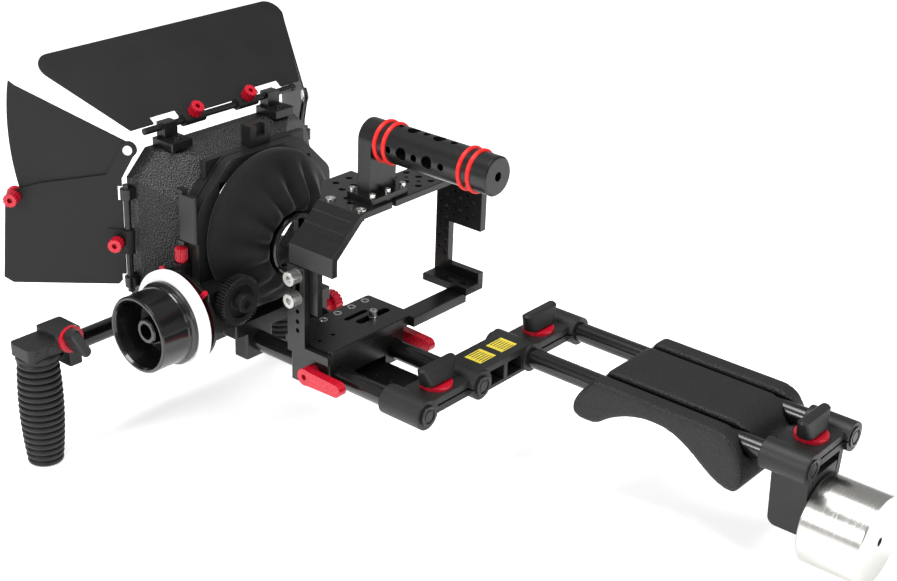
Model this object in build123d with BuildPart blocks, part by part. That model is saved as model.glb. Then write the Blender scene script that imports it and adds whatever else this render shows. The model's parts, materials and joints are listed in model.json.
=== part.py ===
from build123d import *
import math
import os

os.makedirs("parts", exist_ok=True)

# Shoulder rig for a small cinema camera, in millimetres.
# +X is the operator's right, +Y is forward along the lens, +Z is up.
# The origin is midway between the two front rods, on their axes, at the rear face of the offset bracket.

# ---- rods and the offset bracket -------------------------------------------------------------
ROD_R = 7.5
ROD_BORE_R = 6.0
ROD_PITCH = 60.0
FRONT_ROD_X = (-ROD_PITCH / 2, ROD_PITCH / 2)
REAR_ROD_X = (1.5 * ROD_PITCH, 2.5 * ROD_PITCH)
FRONT_ROD_Y = (1.0, 301.0)
REAR_ROD_Y = (-230.0, 37.0)
SLIDE_GAP = 0.05

SOCKET_R = 11.0
BRACKET_L = 36.0
WEB_Y = (4.0, 32.0)
WEB_Z = 6.0
SLIT_HALF = 0.8
KNOB_Y = 18.0
MIDDLE_BOX_Z = 11.0
MIDDLE_BOX_Y = (2.0, 31.0)
POCKET_W = 17.0
POCKET_H = 12.0
POCKET_DEPTH = 20.0

CAP_FLANGE_R = 7.5
CAP_FLANGE_L = 3.0
CAP_PLUG_L = 8.0

# ---- wing knobs and their washers -------------------------------------------------------------
KNOB_SCREW_R = 3.0
KNOB_HOLE_R = 3.05
WASHER_R = 12.0
WASHER_BORE_R = 6.0
WASHER_L = 3.0
WING_L = 38.0
WING_W = 11.0
WING_H = 14.0
WING_STEM_R = 5.5
WING_STEM_L = 3.0

# ---- camera cage ------------------------------------------------------------------------------
SEAT_Z = 24.0
PLATE_T = 5.0
CAGE_LEFT_X = -42.0
CAGE_RIGHT_X = 112.0
CAGE_REAR_Y = 77.0
BASE_PLATE_X = (-42.0, 48.0)
BASE_PLATE_Y = (81.0, 128.0)
ARM_X1 = 104.0
ARM_Y = (76.0, 92.0)
ARM_T = 8.0
SIDE_WALL_T = 6.0
SIDE_WALL_Y = (72.0, 116.0)
COLUMN_Y0 = 103.0
EAR_Z0 = 73.0
FOOT_X0 = 98.0
FOOT_T = 6.0
RIM_Z1 = 38.0
CAGE_TOP_Z = 124.0
TOP_T = 5.0
COVER_EDGE_X = -18.0
COVER_LOW_Z = 100.0
COVER_T = 5.0
SKIRT_Z0 = 80.0
HOLE_PITCH = 9.5
SCREW_QUARTER_R = 3.2
SCREW_SMALL_R = 1.7

# ---- top handle -------------------------------------------------------------------------------
HANDLE_X = 18.0
HANDLE_Z = 167.0
HANDLE_R = 14.0
HANDLE_Y = (-14.0, 88.0)
POST_W = 27.0
POST_T = 12.0
RING_R = 1.7

# ---- matte box --------------------------------------------------------------------------------
STAGE_Z = 78.0
STAGE_HALF_W = 68.0
STAGE_HALF_H = 61.0
STAGE_Y = (188.0, 196.0, 197.0, 205.0)
STAGE_CORNER = 32.0
HOOD_Z = 82.5
HOOD_HALF_W = 85.5
HOOD_HALF_H = 60.5
HOOD_CORNER = 18.0
HOOD_RIM_Y = (231.0, 243.0)
HOOD_WALL = 3.0
FILTER_HALF = 50.0
TRAY_T = 5.0

FLAG_T = 1.2
FLAG_LIFT = 2.8
TOP_HINGE = (237.5, 157.0)
TOP_FLAG_REAR = 84.0
TOP_FLAG_FRONT = 125.0
TOP_FLAG_L = 81.0
TOP_FLAG_TILT = 36.0
TOP_CLIP_X = (-26.0, 27.0)
TOP_KNOB_S = 1.0
TOP_BOSS_LIFT = 4.4
TOP_BRACKET_X = (-51.0, 52.0)
HINGE_ROD_R = 2.5
HINGE_BORE_R = 2.55

SIDE_HINGE_X = 90.8
SIDE_HINGE_Y = 237.5
SIDE_OPEN = 33.0
SIDE_ROD_Z = (38.0, 122.0)
SIDE_KNUCKLE_Z = (42.0, 111.0)
SIDE_KNUCKLE_L = 8.0
SIDE_CLIP = (7.0, 78.0)
SIDE_BOSS_LIFT = 4.7
RIVET = (-3.0, 148.5)
FAN_KNOB = (84.0, 106.0)

DONUT_Y = (161.0, 188.0)
DONUT_R = 61.0
DONUT_NECK_R = 31.0
LENS_Z = 72.0
LENS_RING_R = 24.0
LENS_RING_BORE = 20.0

# ---- handlebar and grips ----------------------------------------------------------------------
BAR_Y = 290.0
BAR_Z = -17.0
BAR_X = (-121.5, 92.5)
GRIP_X = (-141.0, 112.0)
GRIP_TOP_Z = -13.0
GRIP_COLLAR = 5.0
GRIP_BOTTOM_Z = -106.5
GRIP_R = 17.2
GRIP_RINGS = 17
GRIP_CAP_Z = (-13.0, -3.0)
GRIP_CLAMP_Z = (-28.0, 2.0)
GRIP_CLAMP_REACH = (19.0, 31.0)
GRIP_KNOB = (20.0, -4.0)

# ---- follow focus -----------------------------------------------------------------------------
FOCUS_Y = 195.0
FOCUS_Z = 27.0
WHEEL_X = (-122.0, -92.0)
WHEEL_R = 29.0
DISC_X = (-91.0, -86.0)
DISC_R = 38.5
GEARBOX_X = (-85.7, -76.0)
GEARBOX_R = 28.0
DRUM_RIM_R = 35.0
DRUM_BACK_R = 33.5
DRUM_CUT_Y = 209.0
STOP_RING_X = (-82.3, -79.7)
STOP_RING_R = (26.8, 28.8)
STOP_PIN_R = 40.0
GEAR_X = -56.0
GEAR_Z = 44.0
GEAR_Y = (157.0, 164.0)
GEAR_R = 19.0
GEAR_TEETH = 48

# ---- shoulder pad, rear clamp and counterweight -----------------------------------------------
PAD_X = (71.0, 169.0)
PAD_TOP_Z = 12.0
PAD_BORE_R = 7.8
PAD_SLOT = 5.0
REAR_CLAMP_Y = (-232.0, -197.0)
REAR_KNOB_Y = -214.0
LEG_Z = -60.0
LEG_T = 6.0
LEG_Y = (-228.0, -200.0)
LEG_TOP_HALF = 25.0
LEG_BOTTOM_HALF = 20.0
WEIGHT_R = 33.0
WEIGHT_Y = (-274.0, -228.3)
WEIGHT_Z = -52.0
REAR_X = sum(REAR_ROD_X) / 2


# ---- section helpers ----------------------------------------------------------------------------
def round_y(x, z, radius, y0, y1, mode=Mode.ADD):
    """A cylinder along Y from y0 to y1."""
    with BuildSketch(Plane.XZ.offset(-y0)) as section:
        with Locations((x, z)):
            Circle(radius)
    extrude(section.sketch, amount=y0 - y1, mode=mode)


def round_x(y, z, radius, x0, x1, mode=Mode.ADD):
    """A cylinder along X from x0 to x1."""
    with BuildSketch(Plane.YZ.offset(x0)) as section:
        with Locations((y, z)):
            Circle(radius)
    extrude(section.sketch, amount=x1 - x0, mode=mode)


def round_z(x, y, radius, z0, z1, mode=Mode.ADD):
    """A cylinder along Z from z0 to z1."""
    with BuildSketch(Plane.XY.offset(z0)) as section:
        with Locations((x, y)):
            Circle(radius)
    extrude(section.sketch, amount=z1 - z0, mode=mode)


def block(x, y, z, mode=Mode.ADD, corner=0.0):
    """A box between the pairs x, y and z, with its upright corners rounded."""
    with BuildSketch(Plane.XY.offset(z[0])) as section:
        with Locations(((x[0] + x[1]) / 2, (y[0] + y[1]) / 2)):
            if corner > 0:
                RectangleRounded(x[1] - x[0], y[1] - y[0], corner)
            else:
                Rectangle(x[1] - x[0], y[1] - y[0])
    extrude(section.sketch, amount=z[1] - z[0], mode=mode)


def profile_x(points, x0, x1, mode=Mode.ADD):
    """A prism along X from x0 to x1 over a closed outline of (y, z) points."""
    with BuildSketch(Plane.YZ.offset(x0)) as section:
        with BuildLine():
            Polyline(*points, close=True)
        make_face()
    extrude(section.sketch, amount=x1 - x0, mode=mode)


def profile_y(points, y0, y1, mode=Mode.ADD):
    """A prism along Y from y0 to y1 over a closed outline of (x, z) points."""
    with BuildSketch(Plane.XZ.offset(-y0)) as section:
        with BuildLine():
            Polyline(*points, close=True)
        make_face()
    extrude(section.sketch, amount=y0 - y1, mode=mode)


def profile_z(points, z0, z1, mode=Mode.ADD):
    """A prism along Z from z0 to z1 over a closed outline of (x, y) points."""
    with BuildSketch(Plane.XY.offset(z0)) as section:
        with BuildLine():
            Polyline(*points, close=True)
        make_face()
    extrude(section.sketch, amount=z1 - z0, mode=mode)


def save(builder, name):
    """Label a finished piece and write its STEP file."""
    builder.part.label = name
    export_step(builder.part, f"parts/{name}.step")


def octagon(half_w, half_h, corner, z):
    """The corners of a rectangle with cut corners, centred on X = 0 at height z."""
    return [
        (-half_w, z - half_h + corner), (-half_w, z + half_h - corner),
        (-half_w + corner, z + half_h), (half_w - corner, z + half_h),
        (half_w, z + half_h - corner), (half_w, z - half_h + corner),
        (half_w - corner, z - half_h), (-half_w + corner, z - half_h),
    ]


# ---- rods ---------------------------------------------------------------------------------------
# Two pairs of drawn tube: the front pair carries the camera, the rear pair the shoulder pad.
def rod_pair(xs, ends):
    with BuildPart() as rods:
        for x in xs:
            round_y(x, 0, ROD_R, ends[0], ends[1])
            round_y(x, 0, ROD_BORE_R, ends[0], ends[1], mode=Mode.SUBTRACT)
    return rods


save(rod_pair(FRONT_ROD_X, FRONT_ROD_Y), "front_rods")
save(rod_pair(REAR_ROD_X, REAR_ROD_Y), "rear_rods")

# Plastic plugs in the rod ends, each with a flange, a raised ring and a cross slot.
with BuildPart() as rod_end_caps:
    cap_places = [(x, FRONT_ROD_Y[0], -1) for x in FRONT_ROD_X]
    cap_places += [(x, FRONT_ROD_Y[1], 1) for x in FRONT_ROD_X]
    cap_places += [(x, REAR_ROD_Y[0], -1) for x in REAR_ROD_X]
    cap_places += [(x, REAR_ROD_Y[1], 1) for x in REAR_ROD_X]
    for x, y, way in cap_places:
        round_y(x, 0, CAP_FLANGE_R, y, y + way * CAP_FLANGE_L)
        round_y(x, 0, ROD_BORE_R, y - way * CAP_PLUG_L, y)
        round_y(x, 0, CAP_FLANGE_R - 1.8, y + way * (CAP_FLANGE_L - 0.8), y + way * CAP_FLANGE_L, Mode.SUBTRACT)
        round_y(x, 0, CAP_FLANGE_R - 3.5, y, y + way * (CAP_FLANGE_L - 0.2))
save(rod_end_caps, "rod_end_caps")


# ---- offset bracket -----------------------------------------------------------------------------
def split_web(x0, x1, y, knob_y):
    """A clamping web between two sockets, split level with the rods, with a hole for its screw."""
    block((x0, x1), y, (-WEB_Z, WEB_Z))
    block((x0 + 8.5, x1 - 8.5), (y[0] - 5, y[1] + 5), (-SLIT_HALF, SLIT_HALF), Mode.SUBTRACT)
    round_z((x0 + x1) / 2, knob_y, KNOB_HOLE_R, -WEB_Z, WEB_Z, Mode.SUBTRACT)


with BuildPart() as offset_bracket:
    for x in FRONT_ROD_X + REAR_ROD_X:
        round_y(x, 0, SOCKET_R, 0, BRACKET_L)
    split_web(FRONT_ROD_X[0], FRONT_ROD_X[1], WEB_Y, KNOB_Y)
    split_web(REAR_ROD_X[0], REAR_ROD_X[1], WEB_Y, KNOB_Y)
    block((FRONT_ROD_X[1], REAR_ROD_X[0]), MIDDLE_BOX_Y, (-9, MIDDLE_BOX_Z))
    for x in (49.5, 70.5):
        block(
            (x - POCKET_W / 2, x + POCKET_W / 2), (MIDDLE_BOX_Y[0], MIDDLE_BOX_Y[0] + POCKET_DEPTH),
            (-POCKET_H / 2, POCKET_H / 2), Mode.SUBTRACT,
        )
    for x in FRONT_ROD_X + REAR_ROD_X:
        round_y(x, 0, ROD_R, 0, BRACKET_L, Mode.SUBTRACT)
    socket_rims = offset_bracket.edges().filter_by(GeomType.CIRCLE).filter_by(lambda e: abs(e.radius - SOCKET_R) < 0.01)
    for edge in socket_rims:
        if edge.length > 2 * math.pi * SOCKET_R - 1:
            fillet(edge, 0.8)
save(offset_bracket, "offset_bracket")


# ---- wing knobs ---------------------------------------------------------------------------------
def washer_z(x, y, z):
    """A red washer that stands on a clamping web at height z."""
    round_z(x, y, WASHER_R, z, z + WASHER_L)
    round_z(x, y, WASHER_BORE_R, z, z + WASHER_L, Mode.SUBTRACT)


def wing_knob_z(x, y, z, screw_l):
    """A wedge-shaped thumb knob above z, with its screw running down from it."""
    with BuildPart() as knob:
        top = z + 0.3
        round_z(x, y, KNOB_SCREW_R, top - screw_l, top + 1)
        round_z(x, y, WING_STEM_R, top, top + WASHER_L + WING_STEM_L)
        wing_z = top + WASHER_L + 1
        with BuildSketch(Plane.XY.offset(wing_z)):
            with Locations((x, y)):
                SlotOverall(WING_L - 8, WING_W + 2)
        with BuildSketch(Plane.XY.offset(wing_z + WING_H - 1.5)):
            with Locations((x, y)):
                SlotOverall(WING_L, WING_W - 3)
        with BuildSketch(Plane.XY.offset(wing_z + WING_H)):
            with Locations((x, y)):
                SlotOverall(WING_L - 3, WING_W - 6)
        loft(ruled=True)
    return knob


with BuildPart() as bracket_washers:
    washer_z(0, KNOB_Y, WEB_Z)
    washer_z(REAR_X, KNOB_Y, WEB_Z)
save(bracket_washers, "bracket_washers")
save(wing_knob_z(0, KNOB_Y, WEB_Z, 13), "bracket_knob_front")
save(wing_knob_z(REAR_X, KNOB_Y, WEB_Z, 13), "bracket_knob_rear")

# ---- camera clamp, seat and cage ----------------------------------------------------------------
CLAMP_X = (-41.0, 41.0)
CLAMP_Y = (84.0, 122.0)
CLAMP_Z = (-11.0, 15.5)
SLIDE_PLATE_Z = (-12.5, -8.0)
LEVER_YZ = (98.0, 2.0)

with BuildPart() as rod_clamp:
    block(CLAMP_X, CLAMP_Y, CLAMP_Z, corner=2)
    for x in FRONT_ROD_X:
        round_y(x, 0, ROD_R + SLIDE_GAP, CLAMP_Y[0], CLAMP_Y[1], Mode.SUBTRACT)
    block((-20, 20), CLAMP_Y, (CLAMP_Z[0], -2), Mode.SUBTRACT)
    for way in (-1, 1):
        round_x(LEVER_YZ[0], LEVER_YZ[1], 2.55, way * CLAMP_X[1], way * (CLAMP_X[1] - 3.3), Mode.SUBTRACT)
    block((-21, 21), (44, 84), SLIDE_PLATE_Z, corner=1.5)
    block((-19.5, 19.5), (82, 122), SLIDE_PLATE_Z)
    block((-19.5, 19.5), (100, 118), (SLIDE_PLATE_Z[1], -2))
    for y in (50, 62, 74):
        round_z(0, y, 1.6, SLIDE_PLATE_Z[1] - 1, SLIDE_PLATE_Z[1], Mode.SUBTRACT)
save(rod_clamp, "rod_clamp")

CAMERA_SCREW_XY = (23.0, 100.0)
SEAT_HOLES_X = (0.0, 15.0, 30.0, 45.0)
SEAT_HOLES_Y = 122.0

with BuildPart() as base_plate:
    block(BASE_PLATE_X, BASE_PLATE_Y, (SEAT_Z - PLATE_T, SEAT_Z), corner=3)
    block((BASE_PLATE_X[0] + 4, 44), (82, 126), (CLAMP_Z[1], SEAT_Z - PLATE_T))
    block((BASE_PLATE_X[1] - 6, ARM_X1), ARM_Y, (SEAT_Z - ARM_T, SEAT_Z))
    fillet(base_plate.edges().filter_by(Axis.Z).sort_by(Axis.X)[-2:], 1.5)
    with BuildSketch(Plane.XY.offset(SEAT_Z)):
        with Locations(CAMERA_SCREW_XY):
            SlotOverall(34, 7)
    extrude(amount=-(SEAT_Z - CLAMP_Z[1]), mode=Mode.SUBTRACT)
    with BuildSketch(Plane.XY.offset(SEAT_Z)):
        with Locations((SEAT_HOLES_X[3] - 30, SEAT_HOLES_Y - 12)):
            SlotOverall(24, 4.4)
        with Locations(*[(x - 7, SEAT_HOLES_Y) for x in SEAT_HOLES_X]):
            Circle(SCREW_QUARTER_R)
        with Locations((-34, 100), (-20, 100)):
            Circle(SCREW_SMALL_R)
    extrude(amount=-(PLATE_T + 1), mode=Mode.SUBTRACT)
    seat_edges = base_plate.edges().filter_by(GeomType.LINE).group_by(Axis.Z)[-1]
    chamfer([e for e in seat_edges if e.length > 20 and abs(e.center().Y - 100) > 10], 0.5)
save(base_plate, "base_plate")

with BuildPart() as camera_screw:
    sx, sy = CAMERA_SCREW_XY
    round_z(sx, sy, 3.1, CLAMP_Z[1] + 0.2, SEAT_Z + 5)
    round_z(sx, sy, 3.35, CLAMP_Z[1] + 0.2, SEAT_Z)
    round_z(sx, sy, 1.2, SEAT_Z + 3, SEAT_Z + 5, Mode.SUBTRACT)
    chamfer(camera_screw.edges().group_by(Axis.Z)[-1].sort_by(SortBy.LENGTH)[-1], 0.6)
save(camera_screw, "camera_screw")

# The right side: an upright wall pierced with two sets of holes, on a foot that stands on the arm.
with BuildPart() as right_side:
    wall_x = (CAGE_RIGHT_X, CAGE_RIGHT_X + SIDE_WALL_T)
    wall_outline = [
        (SIDE_WALL_Y[0], SEAT_Z), (SIDE_WALL_Y[1], SEAT_Z), (SIDE_WALL_Y[1], CAGE_TOP_Z - TOP_T),
        (SIDE_WALL_Y[0], CAGE_TOP_Z - TOP_T), (SIDE_WALL_Y[0], EAR_Z0), (COLUMN_Y0, EAR_Z0),
        (COLUMN_Y0, RIM_Z1), (SIDE_WALL_Y[0], RIM_Z1),
    ]
    profile_x(wall_outline, wall_x[0], wall_x[1])
    block((FOOT_X0, wall_x[0]), SIDE_WALL_Y, (SEAT_Z, SEAT_Z + FOOT_T))
    fillet(right_side.edges().filter_by(Axis.X).group_by(Axis.Z)[1:-1][0], 1.0)
    with BuildSketch(Plane.XY.offset(SEAT_Z + FOOT_T)):
        with Locations((FOOT_X0 + 7, 90)):
            SlotOverall(26, 5, rotation=90)
    extrude(amount=-FOOT_T, mode=Mode.SUBTRACT)
    hole_rows = 8
    with BuildSketch(Plane.YZ.offset(wall_x[1])):
        with Locations(*[(106, 46 + HOLE_PITCH * i) for i in range(hole_rows)]):
            Circle(1.9)
        with Locations(*[(112, 50 + HOLE_PITCH * i) for i in range(hole_rows - 1)]):
            Circle(1.2)
        for y in (93, 80):
            with Locations(*[(y, 84 + HOLE_PITCH * i) for i in range(4)]):
                Circle(1.9)
            with Locations(*[(y + 5.5, 80 + HOLE_PITCH * i) for i in range(4)]):
                Circle(1.2)
    extrude(amount=-SIDE_WALL_T, mode=Mode.SUBTRACT)
save(right_side, "right_side")

# The left side's lower half: an L of plate screwed to the seat's edge, with slots for its screws.
LEFT_X = (CAGE_LEFT_X - 5, CAGE_LEFT_X)
THUMB_YZ = ((109.0, 60.0), (109.0, 77.0))
with BuildPart() as left_bracket:
    left_outline = [(79, 15.5), (119, 15.5), (119, 84), (102, 84), (102, 22), (79, 22)]
    profile_x(left_outline, LEFT_X[0], LEFT_X[1])
    block((LEFT_X[1], LEFT_X[1] + 4), (82, 119), (CLAMP_Z[1], SEAT_Z - PLATE_T - 0.5))
    with BuildSketch(Plane.YZ.offset(LEFT_X[0])):
        with Locations(*[(109, z) for z in (34, 41, 49)]):
            Circle(1.8)
        with Locations((109, 68.5)):
            SlotOverall(26, 4.4, rotation=90)
        with Locations((115, 92), (115, 66)):
            Circle(1.2)
    extrude(amount=LEFT_X[1] - LEFT_X[0], mode=Mode.SUBTRACT)
save(left_bracket, "left_bracket")

# The left side's upper half: a bent cover from the top plate down over the lower half's inner face.
with BuildPart() as left_cover:
    slope_dx = COVER_EDGE_X - LEFT_X[0]
    slope_dz = CAGE_TOP_Z - COVER_LOW_Z
    slope = math.hypot(slope_dx, slope_dz)
    nx, nz = slope_dz / slope * COVER_T, -slope_dx / slope * COVER_T
    cover_outline = [
        (LEFT_X[0], 86), (LEFT_X[0], COVER_LOW_Z), (COVER_EDGE_X, CAGE_TOP_Z),
        (COVER_EDGE_X + 3, CAGE_TOP_Z), (COVER_EDGE_X + 3, CAGE_TOP_Z - TOP_T),
        (COVER_EDGE_X + 1, CAGE_TOP_Z - TOP_T), (LEFT_X[0] + nx + 2, COVER_LOW_Z + nz + 1),
        (LEFT_X[1], COVER_LOW_Z - 6), (LEFT_X[1], 86),
    ]
    profile_y(cover_outline, 75, 117)
    block(LEFT_X, (75, 117), (SKIRT_Z0 + 5, 90), Mode.ADD)
    block((LEFT_X[1], LEFT_X[1] + 5), (94, 117), (48, 96))
    for y, z in THUMB_YZ:
        round_x(y, z, 2.3, LEFT_X[1], LEFT_X[1] + 5, Mode.SUBTRACT)
    along = Vector(slope_dx, 0, slope_dz).normalized()
    for place in (0.34, 0.62):
        px = LEFT_X[0] + slope_dx * place
        pz = COVER_LOW_Z + slope_dz * place
        groove = [
            (px, pz), (px + along.X * 7, pz + along.Z * 7),
            (px + along.X * 6.4 + nx * 0.16, pz + along.Z * 6.4 + nz * 0.16),
            (px + along.X * 0.6 + nx * 0.16, pz + along.Z * 0.6 + nz * 0.16),
        ]
        profile_y(groove, 79, 117.5, Mode.SUBTRACT)
save(left_cover, "left_cover")

# Two pierced plates side by side make the cage's top.
with BuildPart() as top_plates:
    left_top = [
        (COVER_EDGE_X + 3, CAGE_REAR_Y), (16, CAGE_REAR_Y), (16, 90), (19.9, 90), (19.9, 113),
        (40, 113.1), (40, 140), (9, 140), (COVER_EDGE_X + 3, 117),
    ]
    profile_z(left_top, CAGE_TOP_Z - TOP_T, CAGE_TOP_Z)
    block((20, CAGE_RIGHT_X + SIDE_WALL_T), (CAGE_REAR_Y, 113), (CAGE_TOP_Z - TOP_T, CAGE_TOP_Z), corner=0)
    with BuildSketch(Plane.XY.offset(CAGE_TOP_Z)):
        with Locations(*[(x, y) for x in (52, 66, 80, 94) for y in (84, 96, 108)]):
            Circle(2.6)
        with Locations(*[(x, y) for x in (59, 73, 87, 101) for y in (90, 102)]):
            Circle(1.6)
        with Locations((8, 118), (20, 118), (32, 118), (14, 130), (28, 130), (-6, 96), (-2, 104)):
            Circle(2.6)
    extrude(amount=-TOP_T, mode=Mode.SUBTRACT)
    chamfer(top_plates.edges().filter_by(Axis.X).group_by(Axis.Z)[-1], 0.5)
save(top_plates, "top_plates")

# ---- top handle ---------------------------------------------------------------------------------
with BuildPart() as handle_post:
    with BuildSketch(Plane.XZ.offset(-HANDLE_Y[1])):
        with Locations((HANDLE_X, (HANDLE_Z + CAGE_TOP_Z) / 2)):
            Rectangle(POST_W, HANDLE_Z - CAGE_TOP_Z)
        with Locations((HANDLE_X, HANDLE_Z)):
            Circle(POST_W / 2)
    extrude(amount=-POST_T)
    block((HANDLE_X - 19, HANDLE_X + 19), (80, 106), (CAGE_TOP_Z, CAGE_TOP_Z + 5), corner=2)
    round_y(HANDLE_X, HANDLE_Z, 4.0, HANDLE_Y[1] + POST_T - 3, HANDLE_Y[1] + POST_T, Mode.SUBTRACT)
save(handle_post, "handle_post")

with BuildPart() as handle_tube:
    round_y(HANDLE_X, HANDLE_Z, HANDLE_R, HANDLE_Y[0], HANDLE_Y[1])
    chamfer(handle_tube.edges().filter_by(GeomType.CIRCLE).sort_by(Axis.Y)[0], 1.2)
    round_y(HANDLE_X, HANDLE_Z, 3.3, HANDLE_Y[0], HANDLE_Y[0] + 14, Mode.SUBTRACT)
    for y, radius in ((72, 2.6), (60, 4.6), (48.5, 2.6), (37, 4.6), (24.5, 2.6)):
        round_x(y, HANDLE_Z, radius, HANDLE_X - HANDLE_R, HANDLE_X + HANDLE_R, Mode.SUBTRACT)
        round_z(HANDLE_X, y, radius, HANDLE_Z - HANDLE_R, HANDLE_Z + HANDLE_R, Mode.SUBTRACT)
    for y in (84, 76, 9, 1):
        with BuildSketch(Plane.YZ.offset(HANDLE_X)):
            with Locations((y, HANDLE_Z + HANDLE_R)):
                Circle(RING_R)
        revolve(axis=Axis((HANDLE_X, 0, HANDLE_Z), (0, 1, 0)), mode=Mode.SUBTRACT)
save(handle_tube, "handle_tube")

with BuildPart() as handle_rings:
    for y in (84, 76, 9, 1):
        with BuildSketch(Plane.YZ.offset(HANDLE_X)):
            with Locations((y, HANDLE_Z + HANDLE_R)):
                Circle(RING_R)
        revolve(axis=Axis((HANDLE_X, 0, HANDLE_Z), (0, 1, 0)))
save(handle_rings, "handle_rings")

# Cap screws and lined holes of the cage, all alike in finish.
with BuildPart() as cage_screws:
    for x, y in ((-11.5, 111.0), (-11.5, 81.5)):
        round_z(x, y, 3.6, CAGE_TOP_Z, CAGE_TOP_Z + 1.2)
        round_z(x, y, 1.5, CAGE_TOP_Z + 0.4, CAGE_TOP_Z + 1.2, Mode.SUBTRACT)
    for x in (HANDLE_X - 16, HANDLE_X, HANDLE_X + 16):
        for y in (83.5, 102.5):
            if x == HANDLE_X and y > 90:
                continue
            round_z(x, y, 2.2, CAGE_TOP_Z + 5, CAGE_TOP_Z + 8)
            round_z(x, y, 1.1, CAGE_TOP_Z + 6.5, CAGE_TOP_Z + 8, Mode.SUBTRACT)
    for x in SEAT_HOLES_X:
        round_z(x - 7, SEAT_HOLES_Y, 3.2, SEAT_Z - 2, SEAT_Z + 0.3)
        round_z(x - 7, SEAT_HOLES_Y, 2.0, SEAT_Z - 2, SEAT_Z + 0.3, Mode.SUBTRACT)
save(cage_screws, "cage_screws")

with BuildPart() as thumbscrews:
    for y, z in THUMB_YZ:
        round_x(y, z, 5.2, LEFT_X[0] - 9, LEFT_X[0])
        round_x(y, z, 2.1, LEFT_X[0], LEFT_X[1] + 5)
        round_x(y, z, 2.4, LEFT_X[0] - 9, LEFT_X[0] - 6, Mode.SUBTRACT)
    knurl_count = 20
    for y, z in THUMB_YZ:
        for i in range(knurl_count):
            angle = 2 * math.pi * i / knurl_count
            round_x(
                y + 5.2 * math.cos(angle), z + 5.2 * math.sin(angle), 0.4,
                LEFT_X[0] - 7, LEFT_X[0] - 1, Mode.SUBTRACT,
            )
save(thumbscrews, "thumbscrews")


# ---- clamp levers -------------------------------------------------------------------------------
def clamp_lever(side):
    """A red lever on the side of the camera clamp, turning about X, its tail running back."""
    with BuildPart() as lever:
        x0 = side * (CLAMP_X[1] + 0.4)
        x1 = side * (CLAMP_X[1] + 11)
        y, z = LEVER_YZ
        round_x(y, z, 2.5, side * (CLAMP_X[1] - 3), x1)
        round_x(y, z, 6.5, x0, x1)
        tail_y = y - 30
        paddle = [(y, z - 6), (tail_y, z - 5), (tail_y, z + 5), (y, z + 6)]
        profile_x(paddle, side * (CLAMP_X[1] + 4), x1)
        round_x(tail_y, z, 5, side * (CLAMP_X[1] + 4), x1)
        round_x(y, z, 2.2, side * (CLAMP_X[1] + 8.5), x1, Mode.SUBTRACT)
    return lever


save(clamp_lever(-1), "clamp_lever_left")
save(clamp_lever(1), "clamp_lever_right")

# ---- matte box ----------------------------------------------------------------------------------
HOOD_BACK = (STAGE_HALF_W - 2, STAGE_HALF_H - 1.5, STAGE_CORNER - 3)
with BuildPart() as hood:
    back_w, back_h, back_corner = HOOD_BACK
    with BuildSketch(Plane.XZ.offset(-STAGE_Y[3])):
        with BuildLine():
            Polyline(*octagon(back_w, back_h, back_corner, STAGE_Z), close=True)
        make_face()
    with BuildSketch(Plane.XZ.offset(-HOOD_RIM_Y[0])):
        with BuildLine():
            Polyline(*octagon(HOOD_HALF_W, HOOD_HALF_H, HOOD_CORNER, HOOD_Z), close=True)
        make_face()
    loft(ruled=True)
    profile_y(octagon(HOOD_HALF_W, HOOD_HALF_H, HOOD_CORNER, HOOD_Z), HOOD_RIM_Y[0], HOOD_RIM_Y[1])
    rim_inside = octagon(HOOD_HALF_W - HOOD_WALL, HOOD_HALF_H - HOOD_WALL, HOOD_CORNER - 1, HOOD_Z)
    with BuildSketch(Plane.XZ.offset(-STAGE_Y[3])):
        with BuildLine():
            Polyline(*octagon(back_w - HOOD_WALL, back_h - HOOD_WALL, back_corner - 1, STAGE_Z), close=True)
        make_face()
    with BuildSketch(Plane.XZ.offset(-HOOD_RIM_Y[0])):
        with BuildLine():
            Polyline(*rim_inside, close=True)
        make_face()
    loft(ruled=True, mode=Mode.SUBTRACT)
    profile_y(rim_inside, HOOD_RIM_Y[0], HOOD_RIM_Y[1], Mode.SUBTRACT)
save(hood, "hood")


def stage_frame(y0, y1):
    """One filter stage: a cut-corner frame with a square window."""
    with BuildSketch(Plane.XZ.offset(-y0)) as outer:
        with BuildLine():
            Polyline(*octagon(STAGE_HALF_W, STAGE_HALF_H, STAGE_CORNER, STAGE_Z), close=True)
        make_face()
        fillet(outer.vertices(), 14)
    extrude(outer.sketch, amount=y0 - y1)
    window = FILTER_HALF - 4
    block((-window, window), (y0, y1), (STAGE_Z - window, STAGE_Z + window), Mode.SUBTRACT)


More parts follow.
